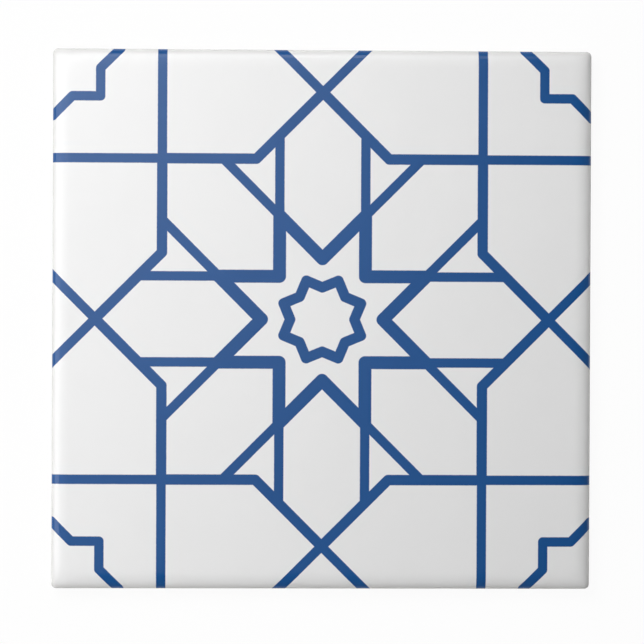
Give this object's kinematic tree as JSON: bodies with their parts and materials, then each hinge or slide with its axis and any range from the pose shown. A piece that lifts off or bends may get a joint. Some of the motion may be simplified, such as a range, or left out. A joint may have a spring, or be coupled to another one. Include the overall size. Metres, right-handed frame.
{
  "type": "glazed ceramic wall tile",
  "caption": "Square glazed ceramic wall tile with a softly rounded cushion edge, a printed star pattern on its white face and keying grooves across its back.",
  "frame": {"origin": "middle of the back, on the plane of the ribs that the tile rests on", "axes": "+Z out of the glazed face, +Y towards the top edge of the face as seen in the picture, +X to its right"},
  "size_m": [0.108, 0.108, 0.0064],
  "materials": {
    "glazed_ceramic": "gloss"
  },
  "bodies": {
    "root": {"tile": "glazed_ceramic"}
  },
  "joints": []
}
